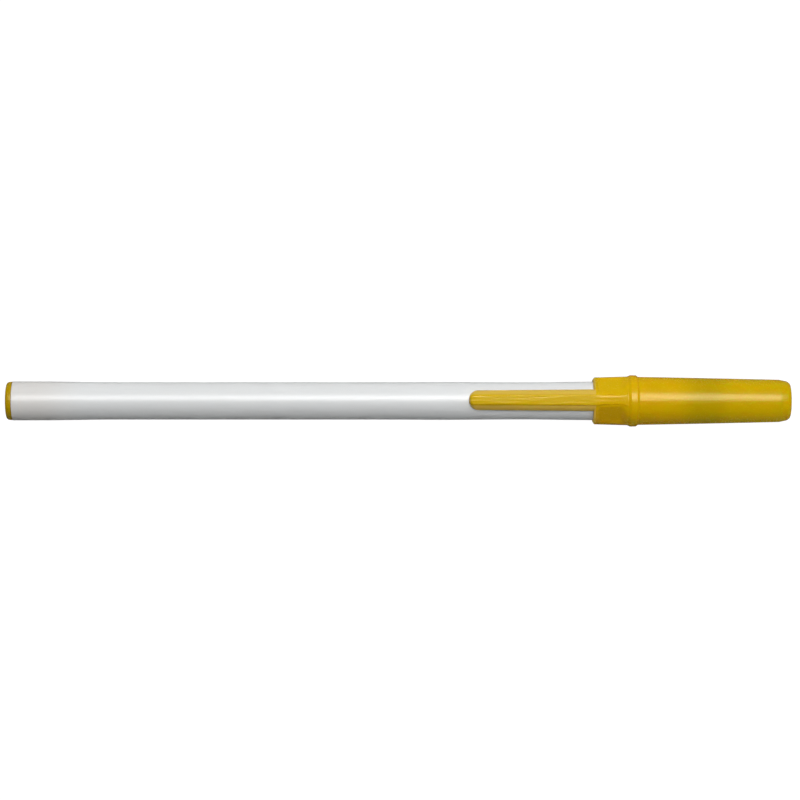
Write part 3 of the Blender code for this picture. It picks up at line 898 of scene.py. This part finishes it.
def make_floor():
    """A pale table top that touches the pen at its collar ring and rear end. It can't be seen from below."""
    rear_radius = barrel_radius(BARREL_X) * MM
    front_radius = (FLANGE_RADIUS - 0.02) * MM
    contact_x = (FLANGE_X + 0.5) * MM
    slope = math.asin((front_radius - rear_radius) / contact_x)
    mesh = bpy.data.meshes.new("floor")
    turns = ((-1, -1), (1, -1), (1, 1), (-1, 1))
    corners = [(x * FLOOR_HALF_SIZE, y * FLOOR_HALF_SIZE, 0) for x, y in turns]
    mesh.from_pydata(corners, [], [(0, 1, 2, 3)])
    floor = bpy.data.objects.new("floor", mesh)
    floor.location = (contact_x, 0.0, -front_radius)
    floor.rotation_euler.y = slope
    bpy.context.scene.collection.objects.link(floor)
    shader = Shader("pale_floor", own_rest=False)
    shader.set(Roughness=0.9)
    tree = shader.tree
    rays = shader.add("ShaderNodeLightPath").outputs["Is Camera Ray"]
    mirrored = shader.add("ShaderNodeLightPath").outputs["Is Glossy Ray"]
    shader.set(Base_Color=shader.ramp(mirrored, [(0.0, FLOOR_DIFFUSE), (1.0, FLOOR_MIRRORED)], "LINEAR"))

    def blended(share, one, other):
        inputs = {0: share, 1: one, 2: other}
        return shader.add("ShaderNodeMixShader", None, inputs).outputs[0]

    plain = shader.surface.outputs[0]
    white = shader.add("ShaderNodeEmission", None, {"Color": WHITE, "Strength": 1.1}).outputs[0]
    clear = shader.add("ShaderNodeBsdfTransparent").outputs[0]
    from_below = shader.math("MULTIPLY", rays, shader.add("ShaderNodeNewGeometry").outputs["Backfacing"])
    surface = blended(from_below, blended(rays, plain, blended(0.93, plain, white)), clear)
    tree.links.new(surface, tree.nodes["Material Output"].inputs["Surface"])
    mesh.materials.append(shader.material)


def make_world():
    """White to the camera, and nearly dark to the pen, which the soft lights light."""
    world = bpy.data.worlds.new("studio")
    world.use_nodes = True
    tree = world.node_tree
    rays = tree.nodes.new("ShaderNodeLightPath")
    ambient = tree.nodes["Background"]
    backdrop = tree.nodes.new("ShaderNodeBackground")
    for background, strength in ((ambient, AMBIENT), (backdrop, 1.0)):
        background.inputs["Color"].default_value = WHITE
        background.inputs["Strength"].default_value = strength
    by_camera = tree.nodes.new("ShaderNodeMixShader")
    tree.links.new(rays.outputs["Is Camera Ray"], by_camera.inputs[0])
    tree.links.new(ambient.outputs[0], by_camera.inputs[1])
    tree.links.new(backdrop.outputs[0], by_camera.inputs[2])
    tree.links.new(by_camera.outputs[0], tree.nodes["World Output"].inputs["Surface"])
    bpy.context.scene.world = world


def make_softbox(name, x, lean, distance, width, depth, power, mirrored=True, lights=True):
    """A soft light above this place along the pen that leans this many degrees towards +Y.

    mirrored says whether it shows in glossy surfaces, and lights whether it lights what is matt.
    """
    light = bpy.data.lights.new(name, "AREA")
    light.shape = "RECTANGLE"
    light.size, light.size_y = width, depth
    light.energy = power
    holder = bpy.data.objects.new(name, light)
    angle = math.radians(lean)
    holder.location = (x, distance * math.sin(angle), distance * math.cos(angle))
    holder.rotation_euler = (-angle, 0.0, 0.0)
    holder.visible_glossy = mirrored
    holder.visible_diffuse = lights
    holder.visible_camera = False
    bpy.context.scene.collection.objects.link(holder)


def make_camera():
    camera = bpy.data.cameras.new("camera")
    camera.sensor_width = SENSOR
    camera.lens = SENSOR * CAMERA_DISTANCE / FRAME_WIDTH
    holder = bpy.data.objects.new("camera", camera)
    across = CAMERA_DISTANCE * math.sin(CAMERA_LEAN) + CAMERA_OFFSET
    holder.location = (MIDDLE_X, across, CAMERA_DISTANCE * math.cos(CAMERA_LEAN))
    holder.rotation_euler.x = -CAMERA_LEAN
    bpy.context.scene.collection.objects.link(holder)
    bpy.context.scene.camera = holder


def paint(node, material):
    """Gives a CAD node that carries over its own material."""
    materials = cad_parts[node].data.materials
    materials.clear()
    materials.append(material)


def main():
    white, yellow = white_plastic(), yellow_plastic()
    make_barrel(white)
    make_plug(yellow)
    make_nose(nose_plastic())
    make_nib(nib_felt())
    make_cap(yellow)
    make_seal(yellow)
    paint("reservoir_core", reservoir_fibre())
    paint("reservoir_film", clear_film())
    make_floor()
    make_world()
    make_softbox("key", 0.20, 20.5, 0.8, 0.86, 0.42, 3.9)
    make_softbox("key_edge", 0.18, 3.0, 0.8, 0.8, 0.22, 0.7)
    make_softbox("hot_spot", 0.17, 19.0, 0.79, 0.3, 0.36, 1.1)
    make_softbox("gleam", 0.12, 15.5, 0.8, 0.7, 0.34, 2.8, lights=False)
    make_softbox("side", 0.12, 48.0, 0.8, 0.7, 0.4, 1.1, mirrored=False)
    make_softbox("end_glow", 0.168, -70.0, 0.045, 0.03, 0.03, 0.004, mirrored=False)
    make_camera()
    bpy.context.scene.view_settings.view_transform = "Standard"


main()
